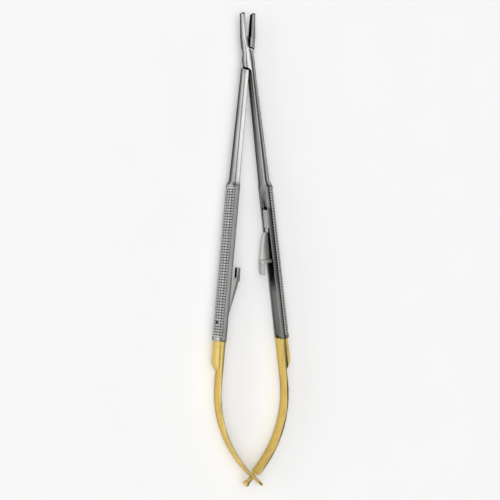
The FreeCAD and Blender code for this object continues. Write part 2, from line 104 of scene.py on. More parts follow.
# Angles of the open instrument, in degrees, read from the joints
JAW_OPEN = JOINTS["jaw_pivot"]["range_deg"][1] / 2
LEVER_SWING = JOINTS["lever_swing"]["range_deg"][1] / 2
HANDLE_OPEN = math.degrees(math.atan2(-LEVER_AXIS.y, -LEVER_AXIS.x))
HANDLE_SPLAY = HANDLE_OPEN - JAW_OPEN

# Jaws, in millimetres, as are all the sizes below
JAW_REACH = 17.8
JAW_ROOT_RADIUS = 2.18
JAW_BELLY_RADIUS = 2.24
JAW_BELLY_AT = 8.4
JAW_TIP_RADIUS = 1.75
JAW_ROOT_HALF_DEPTH = 1.92
JAW_TIP_HALF_DEPTH = 1.3
JAW_NOSE_ROUND = 0.95
JAW_FACE_GAP = 0.01
INSERT_LENGTH = 9.4
INSERT_THICKNESS = 0.6

# Lap joint and screw
WAIST_RADIUS = 2.02
WAIST_AT = 2.4
LAP_BARREL_RADIUS = 2.42
LAP_RADIUS = 3.55
LAP_SHOULDER_GAP = 0.95
LAP_FACE_GAP = 0.02
LAP_CORNER_RADIUS = 0.9
LAP_ARM_CORNER_RADIUS = 2.2
SCREW_HEAD_RADIUS = 1.6
SCREW_HEAD_DEPTH = 0.6

# Arms and handles
ARM_NECK_RADIUS = 2.38
ARM_NECK_AT = 8.0
ARM_END_RADIUS = 3.1
ARM_LENGTH = 46.6
SHOULDER_RADIUS = 3.92
HANDLE_TOP = 48.2
KNURL_TOP = 49.0
HANDLE_RADIUS = 4.12
HANDLE_END = 106.9
HANDLE_END_CHAMFER = 0.3
KNURL_COLUMN_TURN = 16.4
KNURL_OVERLAP = 0.02
KNURL_OVERLAP_TURN = 0.3
KNURL_CORE_RADIUS = 3.0
HANDLE_HALF_DEPTH = 4.0
CHANNEL_HALF_WIDTH = 3.2
CHANNEL_DEPTH = 0.8
CHANNEL_START = 50.0
CHANNEL_RAMP = 6.6

# Leaf springs
ROOT_RADIUS = 3.7
SPRING_HALF_WIDTH = 3.4
ROOT_LENGTH = 8.2
RAMP_LENGTH = 3.4
SPRING_STRAIGHT = 4.5
SPRING_THICKNESS = 0.8
SPRING_BEND_RADIUS = 43.3
SLOT_TAIL = 5.4
SLOT_HALF_WIDTH = 2.2
SLOT_BEFORE_CROSSING = 1.9
SLOT_END_BAR = 1.1
TONGUE_TAIL = 3.6
TONGUE_HALF_WIDTH = 1.3
TONGUE_SHOULDER = 1.7
TONGUE_CURL_RADIUS = 0.9
LEAF_OVERLAP = 0.5
LEAF_STEPS = 48
LEAF_START = HANDLE_END + ROOT_LENGTH + RAMP_LENGTH
BEND_START = LEAF_START + SPRING_STRAIGHT
BEND_CENTRE = Vector((SPRING_THICKNESS / 2 - SPRING_BEND_RADIUS, -BEND_START, 0))
STRAIGHT_STEPS = 4
THROUGH_LEAF = 2 * SPRING_THICKNESS

# Catch, in distances down the handles and heights off their flats
POCKET_TOP = 56.2
POCKET_BOTTOM = 65.3
POCKET_DEPTH = 2.2
POCKET_HALF_WIDTH = 3.0
LEVER_PIN_AT = 60.8
LEVER_PIN_HEAD_RADIUS = 1.18
LEVER_PIN_HEAD_DEPTH = 0.4
HUB_LENGTH = 6.8
HUB_HALF_WIDTH = 2.45
HUB_THICKNESS = 1.4
LEVER_RECESS = 0.15
LEVER_HALF_WIDTH = 1.6
LEVER_BAR_THICKNESS = 0.5
WEDGE_TOP = 66.0
WEDGE_TOP_HEIGHT = 0.8
WEDGE_MIDDLE_AT = 70.5
WEDGE_MIDDLE_HEIGHT = 2.15
WEDGE_HEIGHT = 3.45
WEDGE_RELIEF = 2.0
LEDGE_AT = 77.5
LEDGE_THICKNESS = 1.1
HOOK_MIDDLE = 80.5
HOOK_GAP = 0.2
HOOK_HEIGHT = 3.6
HOOK_THICKNESS = 1.0
HOOK_END = 82.0
NOTCH_WIDTH = 0.5
NOTCH_DEPTH = 0.35
NOTCH_TILT = 28.0
PRONG_THICKNESS = 1.35
PRONG_TIP_AT = 79.0
PRONG_ROOT_AT = 82.9
CATCH_BACK_END = 98.0
CATCH_FOOT_END = 102.6
CATCH_INNER_Z = 0.55
RIVET_AT = 100.0
RIVET_RADIUS = 0.66

# Marks on the faces and corners of a piece, from 0 to 1, that its material reads
# Knurl groove floors, which are painted darker: painted shade
GROOVE = "groove"
EDGE = "edge"
# Milled flats: a rougher finish, and a darker colour that is painted shade
MILLED_SHADE = "milled"
# Painted shade in the catch's pocket, on the jaw's nose, in the lap's corner and on the lever's hub
PAINTED_SHADE = "painted_shade"
# The channel floor and the front half's flats beside it, for painted shade beside the lever
FLOOR = "floor"
# Arm faces other than the inner flats, painted darker where they face sideways or down: painted shade
ARM = "arm"
KNURL = "knurl"
# The teeth, and painted shade on the back insert's sides
TEETH_AND_SIDE_SHADE = "teeth"

# Tints of a metal at its rim, where it is seen at a grazing angle
DARK_RIM = (0.02, 0.02, 0.02)
PALE_RIM = (1.0, 1.0, 1.0)
GOLD_RIM = (1.0, 0.85, 0.5)

# Least share of a normal along an axis, for a face that is square to it, nearly or roughly so
SQUARE = 0.99
NEARLY_SQUARE = 0.97
ROUGHLY_SQUARE = 0.9

# Painted shade in the channel beside the lever: how it starts at the pocket and fades past the hook, in
# millimetres
CHANNEL_SHADE_EDGE = 0.5
CHANNEL_SHADE_TAIL = 9

# Degrees to the right of straight up, and how bright the sky is there
SKY_STOPS = (
    (-88, 0.9), (-60, 1.0), (-52, 0.2), (-42, 0.2), (-35, 1.2), (8, 1.35), (18, 0.65), (34, 0.5), (44, 0.04),
    (68, 0.05), (84, 0.75),
)
TABLE_HALF_SIZE = 3.0

RELIEF_RADIUS = LAP_RADIUS + LAP_SHOULDER_GAP
TO_HANDLE = Matrix.Rotation(-math.radians(HANDLE_SPLAY), 3, "Z")
TURNED_STEPS = 96
SHARP_ANGLE = math.radians(32)
FLAT_ANGLE = math.radians(0.3)
MERGE_DISTANCE = 0.0005
SLIVER = 0.02
MARGIN = 5 * SLIVER
# Width of the rounding of sharp edges
STEEL_EASE = 0.06
CATCH_EASE = 0.07
SPRING_EASE = 0.08


class FinishSettings(bpy.types.PropertyGroup):
    """Sizes and colours of the instrument's finishes."""

    knurl_columns: bpy.props.IntProperty(
        name="Knurl columns", description="Rows of pads round each handle", default=8, min=4, max=9
    )
    knurl_pitch: bpy.props.FloatProperty(
        name="Knurl pitch", description="From ring groove to ring groove, mm", default=1.03, min=0.5
    )
    knurl_groove: bpy.props.FloatProperty(
        name="Groove half width", description="Half of a knurl groove at its mouth, mm", default=0.19
    )
    knurl_depth: bpy.props.FloatProperty(
        name="Groove depth", description="Depth of the knurl grooves, mm", default=0.17
    )
    hatch_pitch: bpy.props.FloatProperty(
        name="Hatch pitch", description="Pitch of the teeth on the jaw inserts, mm", default=0.42
    )
    tooth_height: bpy.props.FloatProperty(
        name="Tooth height", description="Height of the teeth on the jaw inserts, mm", default=0.12
    )
    steel: bpy.props.FloatVectorProperty(
        name="Steel", description="Polished stainless steel", subtype="COLOR", size=3, default=(0.52, 0.52, 0.51)
    )
    satin: bpy.props.FloatVectorProperty(
        name="Satin steel", description="Fine-ground steel of the catch lever", subtype="COLOR", size=3,
        default=(0.60, 0.59, 0.575),
    )
    dark_satin: bpy.props.FloatVectorProperty(
        name="Dark satin steel", description="Ground steel of the fixed catch and rivet", subtype="COLOR", size=3,
        default=(0.32, 0.32, 0.31),
    )
    gold: bpy.props.FloatVectorProperty(
        name="Gold plate", description="Plating of the leaf springs", subtype="COLOR", size=3,
        default=(0.74, 0.57, 0.19),
    )
    worn_gold: bpy.props.FloatVectorProperty(
        name="Worn plate", description="Duller patches of the plating", subtype="COLOR", size=3,
        default=(0.60, 0.42, 0.15),
    )
    hard_metal: bpy.props.FloatVectorProperty(
        name="Hard metal", description="Sintered inserts of the jaws", subtype="COLOR", size=3,
        default=(0.014, 0.014, 0.015),
    )


class StudioSettings(bpy.types.PropertyGroup):
    """The camera, the table and the light."""

    camera_side: bpy.props.FloatProperty(
        name="Camera side angle", description="How far the camera stands to the left of the top",
        default=math.radians(20), subtype="ANGLE",
    )
    camera_roll: bpy.props.FloatProperty(
        name="Camera roll", description="Turn of the picture", default=math.radians(-0.6), subtype="ANGLE"
    )
    camera_distance: bpy.props.FloatProperty(
        name="Camera distance", description="From the middle of the instrument", default=0.36,
        unit="LENGTH",
    )
    frame_width: bpy.props.FloatProperty(
        name="Width of the view", description="What the picture spans at the instrument", default=0.1898,
        unit="LENGTH",
    )
    table: bpy.props.FloatVectorProperty(
        name="Table", description="Colour of the pale table", subtype="COLOR", size=3, default=(0.95, 0.95, 0.95)
    )
    table_glow: bpy.props.FloatProperty(
        name="Table glow", description="White added to the table where it is seen, never as light", default=0.14
    )
    sky_strength: bpy.props.FloatProperty(
        name="Light", description="Strength of the light from above", default=1.38, min=0.0
    )


def settings():
    return bpy.context.scene.needle_holder_finish


def studio():
    return bpy.context.scene.needle_holder_studio


def verts_of(geometry):
    return [part for part in geometry if isinstance(part, bmesh.types.BMVert)]


def edges_of(geometry):
    return [part for part in geometry if isinstance(part, bmesh.types.BMEdge)]


def closed_shell(bm):
    """Merges doubled corners and turns every face outwards."""
    bmesh.ops.remove_doubles(bm, verts=bm.verts, dist=MERGE_DISTANCE)
    bmesh.ops.recalc_face_normals(bm, faces=bm.faces)
    return bm


def turned(profile):
    """A solid turned about the Y axis from (radius, y) corners that start and end on that axis."""
    bm = bmesh.new()
    corners = [bm.verts.new((radius, y, 0)) for radius, y in profile]
    line = corners + [bm.edges.new(pair) for pair in zip(corners, corners[1:])]
    bmesh.ops.spin(bm, geom=line, cent=ORIGIN, axis=Y_AXIS, angle=math.tau, steps=TURNED_STEPS, use_merge=True)
    return closed_shell(bm)


def prism(corners, low, high):
    """A flat outline of (x, y) corners made a plate between two heights."""
    bm = bmesh.new()
    face = bm.faces.new([bm.verts.new((x, y, low)) for x, y in corners])
    raised = bmesh.ops.extrude_face_region(bm, geom=[face])
    bmesh.ops.translate(bm, verts=verts_of(raised["geom"]), vec=Z_AXIS * (high - low))
    return closed_shell(bm)


def pulled(bm, edges, vector):
    """Draws faces out from open edges along a vector, and gives their far edges."""
    grown = bmesh.ops.extrude_edge_only(bm, edges=edges)["geom"]
    bmesh.ops.translate(bm, verts=verts_of(grown), vec=vector)
    return edges_of(grown)


def block(x_low, x_high, y_low, y_high, z_low, z_high):
    bm = bmesh.new()
    bmesh.ops.create_cube(bm, size=1.0)
    size = (x_high - x_low, y_high - y_low, z_high - z_low)
    middle = Vector((x_low + x_high, y_low + y_high, z_low + z_high)) / 2
    bmesh.ops.scale(bm, verts=bm.verts, vec=size)
    return moved(bm, middle)


def cylinder(radius, length, foot, axis, steps=48):
    """A closed cylinder from its foot along an axis."""
    bm = bmesh.new()
    bmesh.ops.create_cone(bm, cap_ends=True, segments=steps, radius1=radius, radius2=radius, depth=length)
    moved(bm, Z_AXIS * (length / 2))
    turn = Z_AXIS.rotation_difference(Vector(axis)).to_matrix().to_4x4()
    bmesh.ops.transform(bm, matrix=Matrix.Translation(Vector(foot)) @ turn, verts=bm.verts)
    return bm


def spun(bm, axis, degrees, centre=ORIGIN):
    matrix = Matrix.Rotation(math.radians(degrees), 3, Vector(axis))
    bmesh.ops.rotate(bm, verts=bm.verts, cent=Vector(centre), matrix=matrix)
    return bm


def moved(bm, vector):
    bmesh.ops.translate(bm, verts=bm.verts, vec=vector)
    return bm


def to_closed(bm):
    """From the +X handle's own frame to the closed frame."""
    return spun(bm, Z_AXIS, HANDLE_SPLAY)


def other_side(bm):
    """Turned over from the front half to its place on the back half."""
    return spun(bm, Y_AXIS, 180)


def linked(bm, name):
    mesh = bpy.data.meshes.new(name)
    bm.to_mesh(mesh)
    bm.free()
    piece = bpy.data.objects.new(name, mesh)
    bpy.context.scene.collection.objects.link(piece)
    return piece


def combined(body, tools, operation):
    """The body joined with, cut by or limited to each of the tools, which are used up."""
    target = linked(body, "target")
    helpers = [linked(tool, "tool") for tool in tools]
    for helper in helpers:
        modifier = target.modifiers.new(helper.name, "BOOLEAN")
        modifier.operation = operation
        modifier.solver = "MANIFOLD"
        modifier.object = helper
    result = bmesh.new()
    result.from_object(target, bpy.context.evaluated_depsgraph_get())
    for used in [target] + helpers:
        mesh = used.data
        bpy.data.objects.remove(used)
        bpy.data.meshes.remove(mesh)
    if not result.faces or any(len(edge.link_faces) != 2 for edge in result.edges):
        raise RuntimeError("a boolean left nothing, or an open shell")
    return result


def cut(body, *tools):
    return combined(body, tools, "DIFFERENCE")


def common(body, *tools):
    return combined(body, tools, "INTERSECT")


def fused(body, *tools):
    return combined(body, tools, "UNION")


def new_marks(layers, *names):
    """New marks on a piece's faces or corners, fetched once all of them are made."""
    for name in names:
        layers.float.new(name)
    return [layers.float[name] for name in names]


def eased(bm, width, keep=None):
    """Rounds the sharp edges a little, apart from those that keep says to leave, and marks them as edges."""
    edge_mark = bm.faces.layers.float.get(EDGE) or bm.faces.layers.float.new(EDGE)
    bmesh.ops.dissolve_degenerate(bm, edges=bm.edges, dist=SLIVER)
    bmesh.ops.dissolve_limit(bm, angle_limit=FLAT_ANGLE, verts=bm.verts, edges=bm.edges)
    sharp = [
        edge for edge in bm.edges
        if len(edge.link_faces) == 2
        and edge.calc_face_angle() > SHARP_ANGLE
        and not (keep and keep(edge))
    ]
    rounded = bmesh.ops.bevel(
        bm, geom=sharp, offset=width, offset_type="OFFSET", segments=2, profile=0.5,
        affect="EDGES", clamp_overlap=False, material=-1,
    )["faces"]
    for face in rounded:
        face[edge_mark] = 1.0
    return bm


def placed(bm, name, side, material):
    """The piece swung open with its half and set on the pivot, in metres, and smooth between sharp edges."""
    spun(bm, Z_AXIS, JAW_OPEN if side == "right_side" else -JAW_OPEN)
    bmesh.ops.transform(bm, matrix=Matrix.Translation(PIVOT) @ Matrix.Scale(MM, 4), verts=bm.verts)
    piece = linked(bm, name)
    piece.data.shade_smooth()
    piece.data.set_sharp_from_angle(angle=SHARP_ANGLE)
    piece.data.materials.append(material)
    return piece


def arc_points(centre, radius, start, end, count):
    """Points on a circle from one angle to another, in degrees."""
    turns = [math.radians(start + (end - start) * i / count) for i in range(count + 1)]
    return [(centre[0] + radius * math.cos(t), centre[1] + radius * math.sin(t)) for t in turns]


def turned_body():
    """The instrument as it is turned from bar."""
    jaw = [
        (0, JAW_REACH), (JAW_TIP_RADIUS, JAW_REACH), (JAW_TIP_RADIUS, JAW_REACH - JAW_TIP_RADIUS),
        (JAW_BELLY_RADIUS, JAW_BELLY_AT), (JAW_ROOT_RADIUS, RELIEF_RADIUS), (WAIST_RADIUS, WAIST_AT),
    ]
    arm = [
        (LAP_BARREL_RADIUS, 0), (ARM_NECK_RADIUS, -ARM_NECK_AT), (ARM_END_RADIUS, -ARM_LENGTH),
        (SHOULDER_RADIUS, -HANDLE_TOP),
    ]
    handle = [
        (HANDLE_RADIUS, -KNURL_TOP), (HANDLE_RADIUS, -HANDLE_END + HANDLE_END_CHAMFER),
        (HANDLE_RADIUS - HANDLE_END_CHAMFER, -HANDLE_END), (0, -HANDLE_END),
    ]
    return turned(jaw + arm + handle)


def jaw_outline():
    """The -X jaw seen square to the lap, with its round nose."""
    nose = JAW_TIP_RADIUS / 2
    shoulder = JAW_REACH - nose
    return [(-FAR, 0), (0, 0)] + arc_points((-nose, shoulder), nose, 0, 180, 24) + [(-FAR, shoulder)]


def jaw_side():
    """The jaw seen from the side: narrowing to the tip, whose corners are round."""
    nose = JAW_TIP_HALF_DEPTH - JAW_NOSE_ROUND
    shoulder = JAW_REACH - JAW_NOSE_ROUND
    corners = [(-LAP_BARREL_RADIUS, 0), (LAP_BARREL_RADIUS, 0), (JAW_ROOT_HALF_DEPTH, RELIEF_RADIUS)]
    corners += arc_points((nose, shoulder), JAW_NOSE_ROUND, 0, 90, 12)
    corners += arc_points((-nose, shoulder), JAW_NOSE_ROUND, 90, 180, 12)
    return corners + [(-JAW_ROOT_HALF_DEPTH, RELIEF_RADIUS)]


def jaw_body():
    """The whole -X jaw, insert and all: round outside, flat above and below."""
    slab = spun(prism(jaw_side(), -FAR, FAR), Y_AXIS, 90)
    return common(turned_body(), prism(jaw_outline(), -FAR, FAR), slab)


def corner_web(radius):
    """The round corner between the lap disc and a flat, on the disc's +X +Y side."""
    overlap = 0.5
    reach = math.sqrt((LAP_RADIUS + radius) ** 2 - radius**2)
    touch_turn = math.degrees(math.atan2(-reach, -radius)) % 360
    outline = [(-overlap, 0), (-overlap, reach)] + arc_points((radius, reach), radius, 180, touch_turn, 16)
    return prism(outline + [(overlap, 0)], LAP_FACE_GAP / 2, FAR)


def knurled_sector():
    """The knurl on the back of the +X handle: a pad for each square, closed by a wedge to the axis."""
    finish = settings()
    turn = math.radians(KNURL_COLUMN_TURN)
    half_turn = turn * finish.knurl_columns / 2
    floor = HANDLE_RADIUS - finish.knurl_depth / math.cos(turn / 2)
    first_y = -KNURL_TOP
    rows = int((HANDLE_END - HANDLE_END_CHAMFER - KNURL_TOP) / finish.knurl_pitch)
    bm = bmesh.new()
    groove, knurl = new_marks(bm.verts.layers, GROOVE, KNURL)
    first = bm.verts.new((math.cos(half_turn) * floor, first_y, math.sin(half_turn) * floor))
    bmesh.ops.spin(bm, geom=[first], cent=ORIGIN, axis=Y_AXIS, angle=2 * half_turn, steps=finish.knurl_columns)
    edges = list(bm.edges)
    for _ in range(rows):
        edges = pulled(bm, edges, -Y_AXIS * finish.knurl_pitch)
    floor_corners = set(bm.verts)
    bmesh.ops.recalc_face_normals(bm, faces=bm.faces)
    bm.faces.ensure_lookup_table()
    if bm.faces[0].normal.dot(bm.faces[0].calc_center_median() * Vector((1, 0, 1))) < 0:
        bmesh.ops.reverse_faces(bm, faces=bm.faces)
    bmesh.ops.inset_individual(
        bm, faces=bm.faces, thickness=finish.knurl_groove, depth=finish.knurl_depth, use_even_offset=True
    )
    # Groove floors marked for painted shade
    for corner in bm.verts:
        corner[groove] = 1.0 if corner in floor_corners else 0.0
        corner[knurl] = 1.0
    rim = [edge for edge in bm.edges if edge.is_boundary]
    inner = verts_of(bmesh.ops.extrude_edge_only(bm, edges=rim)["geom"])
    bmesh.ops.scale(bm, verts=inner, vec=(0, 1, 0))
    return closed_shell(bm), half_turn, first_y, first_y - rows * finish.knurl_pitch


def arm_and_handle():
    """The +X arm and handle in its own frame: the bar, the cutter for the knurl's seat, and the knurl."""
    sector, half_turn, first_y, last_y = knurled_sector()
    arm_side = block(0, FAR, -FAR, 0, -HANDLE_HALF_DEPTH, HANDLE_HALF_DEPTH)
    bar = common(turned_body(), arm_side)
    half_turn -= math.radians(KNURL_OVERLAP_TURN)
    low, high = (
        [(r * math.cos(a), r * math.sin(a)) for r in (KNURL_CORE_RADIUS, FAR)] for a in (-half_turn, half_turn)
    )
    outline = low + [(FAR, -FAR), (FAR, FAR)] + high[::-1]
    seat = spun(prism(outline, first_y - KNURL_OVERLAP, last_y + KNURL_OVERLAP), X_AXIS, -90)
    return bar, seat, sector


def steel_half(*handle_cutters, jaw_shade=0.0, channel_shade_on_lands=0.0):
    """A whole half: the -X jaw, the lap on the +Z side, the +X arm and its handle."""
    bar, seat, sector = arm_and_handle()
    cutters = [channel(), *handle_cutters]
    through_knurl = [to_closed(cutter.copy()) for cutter in cutters]
    bar = cut(bar, seat, *cutters)
    insert_bed = block(-INSERT_THICKNESS, FAR, JAW_REACH - INSERT_LENGTH, FAR, -FAR, FAR)
    face_relief = block(-JAW_FACE_GAP, FAR, -FAR, FAR, -FAR, FAR)

    def room_for_lap():
        return cylinder(RELIEF_RADIUS, FAR, (0, 0, LAP_FACE_GAP / 2), -Z_AXIS, steps=TURNED_STEPS)

    jaw = cut(jaw_body(), insert_bed, face_relief, room_for_lap())
    disc = cylinder(LAP_RADIUS, FAR, (0, 0, LAP_FACE_GAP / 2), Z_AXIS, steps=TURNED_STEPS)
    arm_corner = spun(corner_web(LAP_ARM_CORNER_RADIUS), Z_AXIS, 180 + HANDLE_SPLAY)
    lap = common(turned_body(), fused(disc, corner_web(LAP_CORNER_RADIUS), arm_corner))
    body = fused(cut(to_closed(bar), room_for_lap()), jaw, lap)
    body = eased(body, STEEL_EASE, keep=stays_sharp)
    return marked(cut(fused(body, to_closed(sector)), *through_knurl), jaw_shade, channel_shade_on_lands)


def marked(half, jaw_shade, channel_shade_on_lands):
    """Marks a half's arm, milled faces, channel and pocket, its jaw's flats and nose, and the lap's corner, for
    painted shade; the milled faces are also rougher.
    """
    milled, painted_shade, floor, arm = new_marks(half.faces.layers, MILLED_SHADE, PAINTED_SHADE, FLOOR, ARM)
    knurl = half.verts.layers.float[KNURL]
    # Strengths of painted shade on the handle's flats, the jaw's nose and the lap's corner
    land_shade, nose_shade, corner_shade = 0.9, 0.9, 0.8
    for face in half.faces:
        middle = TO_HANDLE @ face.calc_center_median()
        normal = TO_HANDLE @ face.normal
        on_inner_flat = middle.y < -RELIEF_RADIUS and normal.x < -NEARLY_SQUARE
        knurled = any(corner[knurl] for corner in face.verts)
        if middle.y > -HANDLE_TOP - SLIVER:
            face[arm] = 0.0 if on_inner_flat else 1.0
            # Painted shade on the jaw's flats, as much as jaw_shade gives
            if middle.y > RELIEF_RADIUS - SLIVER and abs(normal.z) > SQUARE:
                face[milled] = jaw_shade
        elif not knurled and abs(middle.z) > CHANNEL_HALF_WIDTH + SLIVER:
            face[floor] = channel_shade_on_lands
            # Painted shade, with a rougher milled finish, on the handle's flats beside the channel
            if normal.x > -ROUGHLY_SQUARE:
                face[milled] = land_shade
        if middle.y > JAW_REACH - 2 * JAW_NOSE_ROUND and normal.y > 0.2:
            face[painted_shade] = nose_shade
        if abs(math.hypot(middle.x, middle.y) - RELIEF_RADIUS) < MARGIN and abs(normal.z) < 0.3:
            face[painted_shade] = corner_shade
        if on_inner_flat and abs(middle.x - CHANNEL_DEPTH) < MARGIN / 2:
            face[floor] = 1.0
        if (
            -POCKET_BOTTOM - MARGIN < middle.y < -POCKET_TOP + MARGIN
            and CHANNEL_DEPTH + MARGIN / 2 < middle.x < POCKET_DEPTH + MARGIN
            and abs(middle.z) < POCKET_HALF_WIDTH + MARGIN
        ):
            face[painted_shade] = 1.0
    return half


def stays_sharp(edge):
    """Whether an edge is in the milled seat that the knurl fills, or where the arm joins the lap."""
    own = [TO_HANDLE @ corner.co for corner in edge.verts]
    seat_turn = KNURL_COLUMN_TURN * settings().knurl_columns / 2 + 2
    return all(abs(c.y) < MARGIN for c in own) or all(
        c.y < -KNURL_TOP - KNURL_OVERLAP / 2
        and math.degrees(abs(math.atan2(c.z, c.x))) < seat_turn
        and math.hypot(c.x, c.z) > KNURL_CORE_RADIUS - SLIVER / 2
        for c in own
    )


def channel():
    """Cutter for the channel, with the ramp where the mill runs out."""
    ramp_end = CHANNEL_START + CHANNEL_RAMP
    side = [
        (-RUN_IN, -CHANNEL_START), (0, -CHANNEL_START), (CHANNEL_DEPTH, -ramp_end),
        (CHANNEL_DEPTH, -FAR), (-RUN_IN, -FAR),
    ]
    return prism(side, -CHANNEL_HALF_WIDTH, CHANNEL_HALF_WIDTH)


def finished_half(bm, node, side):
    """A half in its place, with the knurl's own finish on its pads and grooves."""
    knurl = bm.verts.layers.float[KNURL]
    for face in bm.faces:
        face.material_index = int(all(corner[knurl] > 0.5 for corner in face.verts))
    half = placed(bm, node + "_polished", side, polished_steel())
    half.data.materials.append(knurled_steel())
    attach(half, side)
    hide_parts(node)


class NEEDLEHOLDER_OT_halves(bpy.types.Operator):
    """Both steel halves with their knurled handles"""

    bl_idname = "needle_holder.halves"
    bl_label = "Steel halves"

    def execute(self, context):
        pocket = block(-RUN_IN, POCKET_DEPTH, -POCKET_BOTTOM, -POCKET_TOP, -POCKET_HALF_WIDTH, POCKET_HALF_WIDTH)
        # The front half gets painted shade along its channel and the flats beside the lever
        finished_half(steel_half(pocket, channel_shade_on_lands=0.7), "front_half", "right_side")
        z = -(CATCH_INNER_Z + CHANNEL_HALF_WIDTH) / 2
        rivet_hole = cylinder(RIVET_RADIUS, FAR, (0, -RIVET_AT, z), X_AXIS)
        # The back half's jaw flats are painted darker than the front's: painted shade
        back = other_side(steel_half(rivet_hole, jaw_shade=0.6))
        head_top = -LAP_BARREL_RADIUS + SCREW_HEAD_DEPTH
        head = cylinder(SCREW_HEAD_RADIUS, FAR, (0, 0, head_top), -Z_AXIS)
        finished_half(cut(back, head), "back_half", "left_side")
        return {"FINISHED"}


def leaf_turn():
    """Degrees a leaf turns from its handle's line to the crossing."""
    rest = math.radians(HANDLE_OPEN)
    inner = (SPRING_BEND_RADIUS - SPRING_THICKNESS / 2) * math.cos(rest) - BEND_START * math.sin(rest)
    return HANDLE_OPEN + math.degrees(math.acos(inner / SPRING_BEND_RADIUS))


def leaf(tail):
    """The bent leaf at its full width, on the +X side in its handle's frame."""
    bm = bmesh.new()
    start_y = -LEAF_START + LEAF_OVERLAP
    corners = [
        bm.verts.new((x, start_y, z))
        for x, z in (
            (0, -SPRING_HALF_WIDTH), (SPRING_THICKNESS, -SPRING_HALF_WIDTH),
            (SPRING_THICKNESS, SPRING_HALF_WIDTH), (0, SPRING_HALF_WIDTH),
        )
    ]
    rim = [bm.edges.new(pair) for pair in zip(corners, corners[1:] + corners[:1])]

    def grow(rim, length, direction):
        for _ in range(STRAIGHT_STEPS):
            rim = pulled(bm, rim, direction * (length / STRAIGHT_STEPS))
        return rim

    rim = grow(rim, SPRING_STRAIGHT + LEAF_OVERLAP, -Y_AXIS)
    turn = math.radians(leaf_turn())
    bent = bmesh.ops.spin(bm, geom=rim, cent=BEND_CENTRE, axis=-Z_AXIS, angle=turn, steps=LEAF_STEPS)
    grow(edges_of(bent["geom_last"]), tail, Vector((-math.sin(turn), -math.cos(turn), 0)))
    bmesh.ops.holes_fill(bm, edges=bm.edges, sides=4)
    return closed_shell(bm)


def at_crossing(bm):
    """From along -Y at the origin to the crossing, along the leaf's tail."""
    turn = math.radians(leaf_turn())
    crossing = BEND_CENTRE + Vector((math.cos(turn), -math.sin(turn), 0)) * SPRING_BEND_RADIUS
    return moved(spun(bm, Z_AXIS, -leaf_turn()), crossing)


def spring_root():
    """Half-round root milled down by a ramp to the leaf."""
    bar_end = -HANDLE_END - ROOT_LENGTH
    side = [
        (0, -HANDLE_END), (ROOT_RADIUS + RUN_IN, -HANDLE_END), (ROOT_RADIUS + RUN_IN, bar_end),
        (ROOT_RADIUS, bar_end), (SPRING_THICKNESS, -LEAF_START), (0, -LEAF_START),
    ]
    bar = cylinder(ROOT_RADIUS, FAR, (0, -HANDLE_END + RUN_IN, 0), -Y_AXIS, steps=TURNED_STEPS)
    return common(prism(side, -SPRING_HALF_WIDTH, SPRING_HALF_WIDTH), bar)


def leaf_cutter(outline):
    """An outline of (along, across) corners as a cutter through the leaf's tail, measured from the crossing."""
    plate = prism(outline, -THROUGH_LEAF, THROUGH_LEAF)
    return at_crossing(spun(spun(plate, Z_AXIS, 90), Y_AXIS, 90))


def slot_window():
    """Cutter for the long hole: square above, round below."""
    end = SLOT_TAIL - SLOT_END_BAR - SLOT_HALF_WIDTH
    outline = [(SLOT_BEFORE_CROSSING, SLOT_HALF_WIDTH), (SLOT_BEFORE_CROSSING, -SLOT_HALF_WIDTH)]
    return leaf_cutter(outline + arc_points((-end, 0), SLOT_HALF_WIDTH, 270, 90, 24))


def nose_corners():
    """Cutter for the corners outside the leaf's round end."""
    centre = -SLOT_TAIL + SPRING_HALF_WIDTH
    outline = [(centre, FAR), (centre, SPRING_HALF_WIDTH)]
    outline += arc_points((centre, 0), SPRING_HALF_WIDTH, 90, 270, 32)[1:]
    return leaf_cutter(outline + [(centre, -FAR), (-FAR, -FAR), (-FAR, FAR)])


def edge_marked(spring):
    """Marks a spring's long cut edges, and its root's milled flats more, for painted shade."""
    milled = spring.faces.layers.float.new(MILLED_SHADE)
    for face in spring.faces:
        if abs(face.normal.z) > ROUGHLY_SQUARE:
            face[milled] = 1.0 if face.calc_center_median().y > -LEAF_START - SLIVER else 0.4
    return spring


def slotted_spring():
    blade = cut(leaf(SLOT_TAIL), slot_window(), nose_corners())
    return edge_marked(eased(fused(blade, spring_root()), SPRING_EASE))


def tongued_spring():
    sides = [
        at_crossing(block(-THROUGH_LEAF, THROUGH_LEAF, -FAR, TONGUE_SHOULDER, low, low + FAR))
        for low in (TONGUE_HALF_WIDTH, -TONGUE_HALF_WIDTH - FAR)
    ]
    curl_foot = (0, -TONGUE_TAIL, -TONGUE_HALF_WIDTH + SLIVER / 4)
    curl = cylinder(TONGUE_CURL_RADIUS, 2 * TONGUE_HALF_WIDTH - SLIVER / 2, curl_foot, Z_AXIS)
    blade = cut(leaf(TONGUE_TAIL), *sides)
    return edge_marked(eased(fused(blade, spring_root(), at_crossing(curl)), SPRING_EASE))


class NEEDLEHOLDER_OT_springs(bpy.types.Operator):
    """The two plated leaf springs, which bend between the halves"""

    bl_idname = "needle_holder.springs"
    bl_label = "Leaf springs"

    def execute(self, context):
        plate = gold_plate()
        handle_end = PIVOT + X_AXIS * (HANDLE_END * math.sin(math.radians(HANDLE_OPEN)) * MM)
        bend = {"right_side": handle_end, "left_side": 2 * PIVOT - handle_end}
        for side, other, form in (
            ("right_side", "left_side", tongued_spring),
            ("left_side", "right_side", slotted_spring),
        ):
            bm = to_closed(form())
            if side == "left_side":
                other_side(bm)
            node = side.replace("side", "spring")
            spring = placed(bm, node + "_plated", side, plate)
            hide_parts(node)
            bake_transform(spring, side, other, start=bend[side], end=bend[other])
        return {"FINISHED"}


def half_gap(down):
    """From the plane between the halves to a handle's flat, with the jaws shut."""
    return down * math.tan(math.radians(HANDLE_SPLAY))


def hook_face():
    """X of the lever's hooking face with the jaws shut."""
    return half_gap(HOOK_MIDDLE) - HOOK_HEIGHT + HOOK_THICKNESS


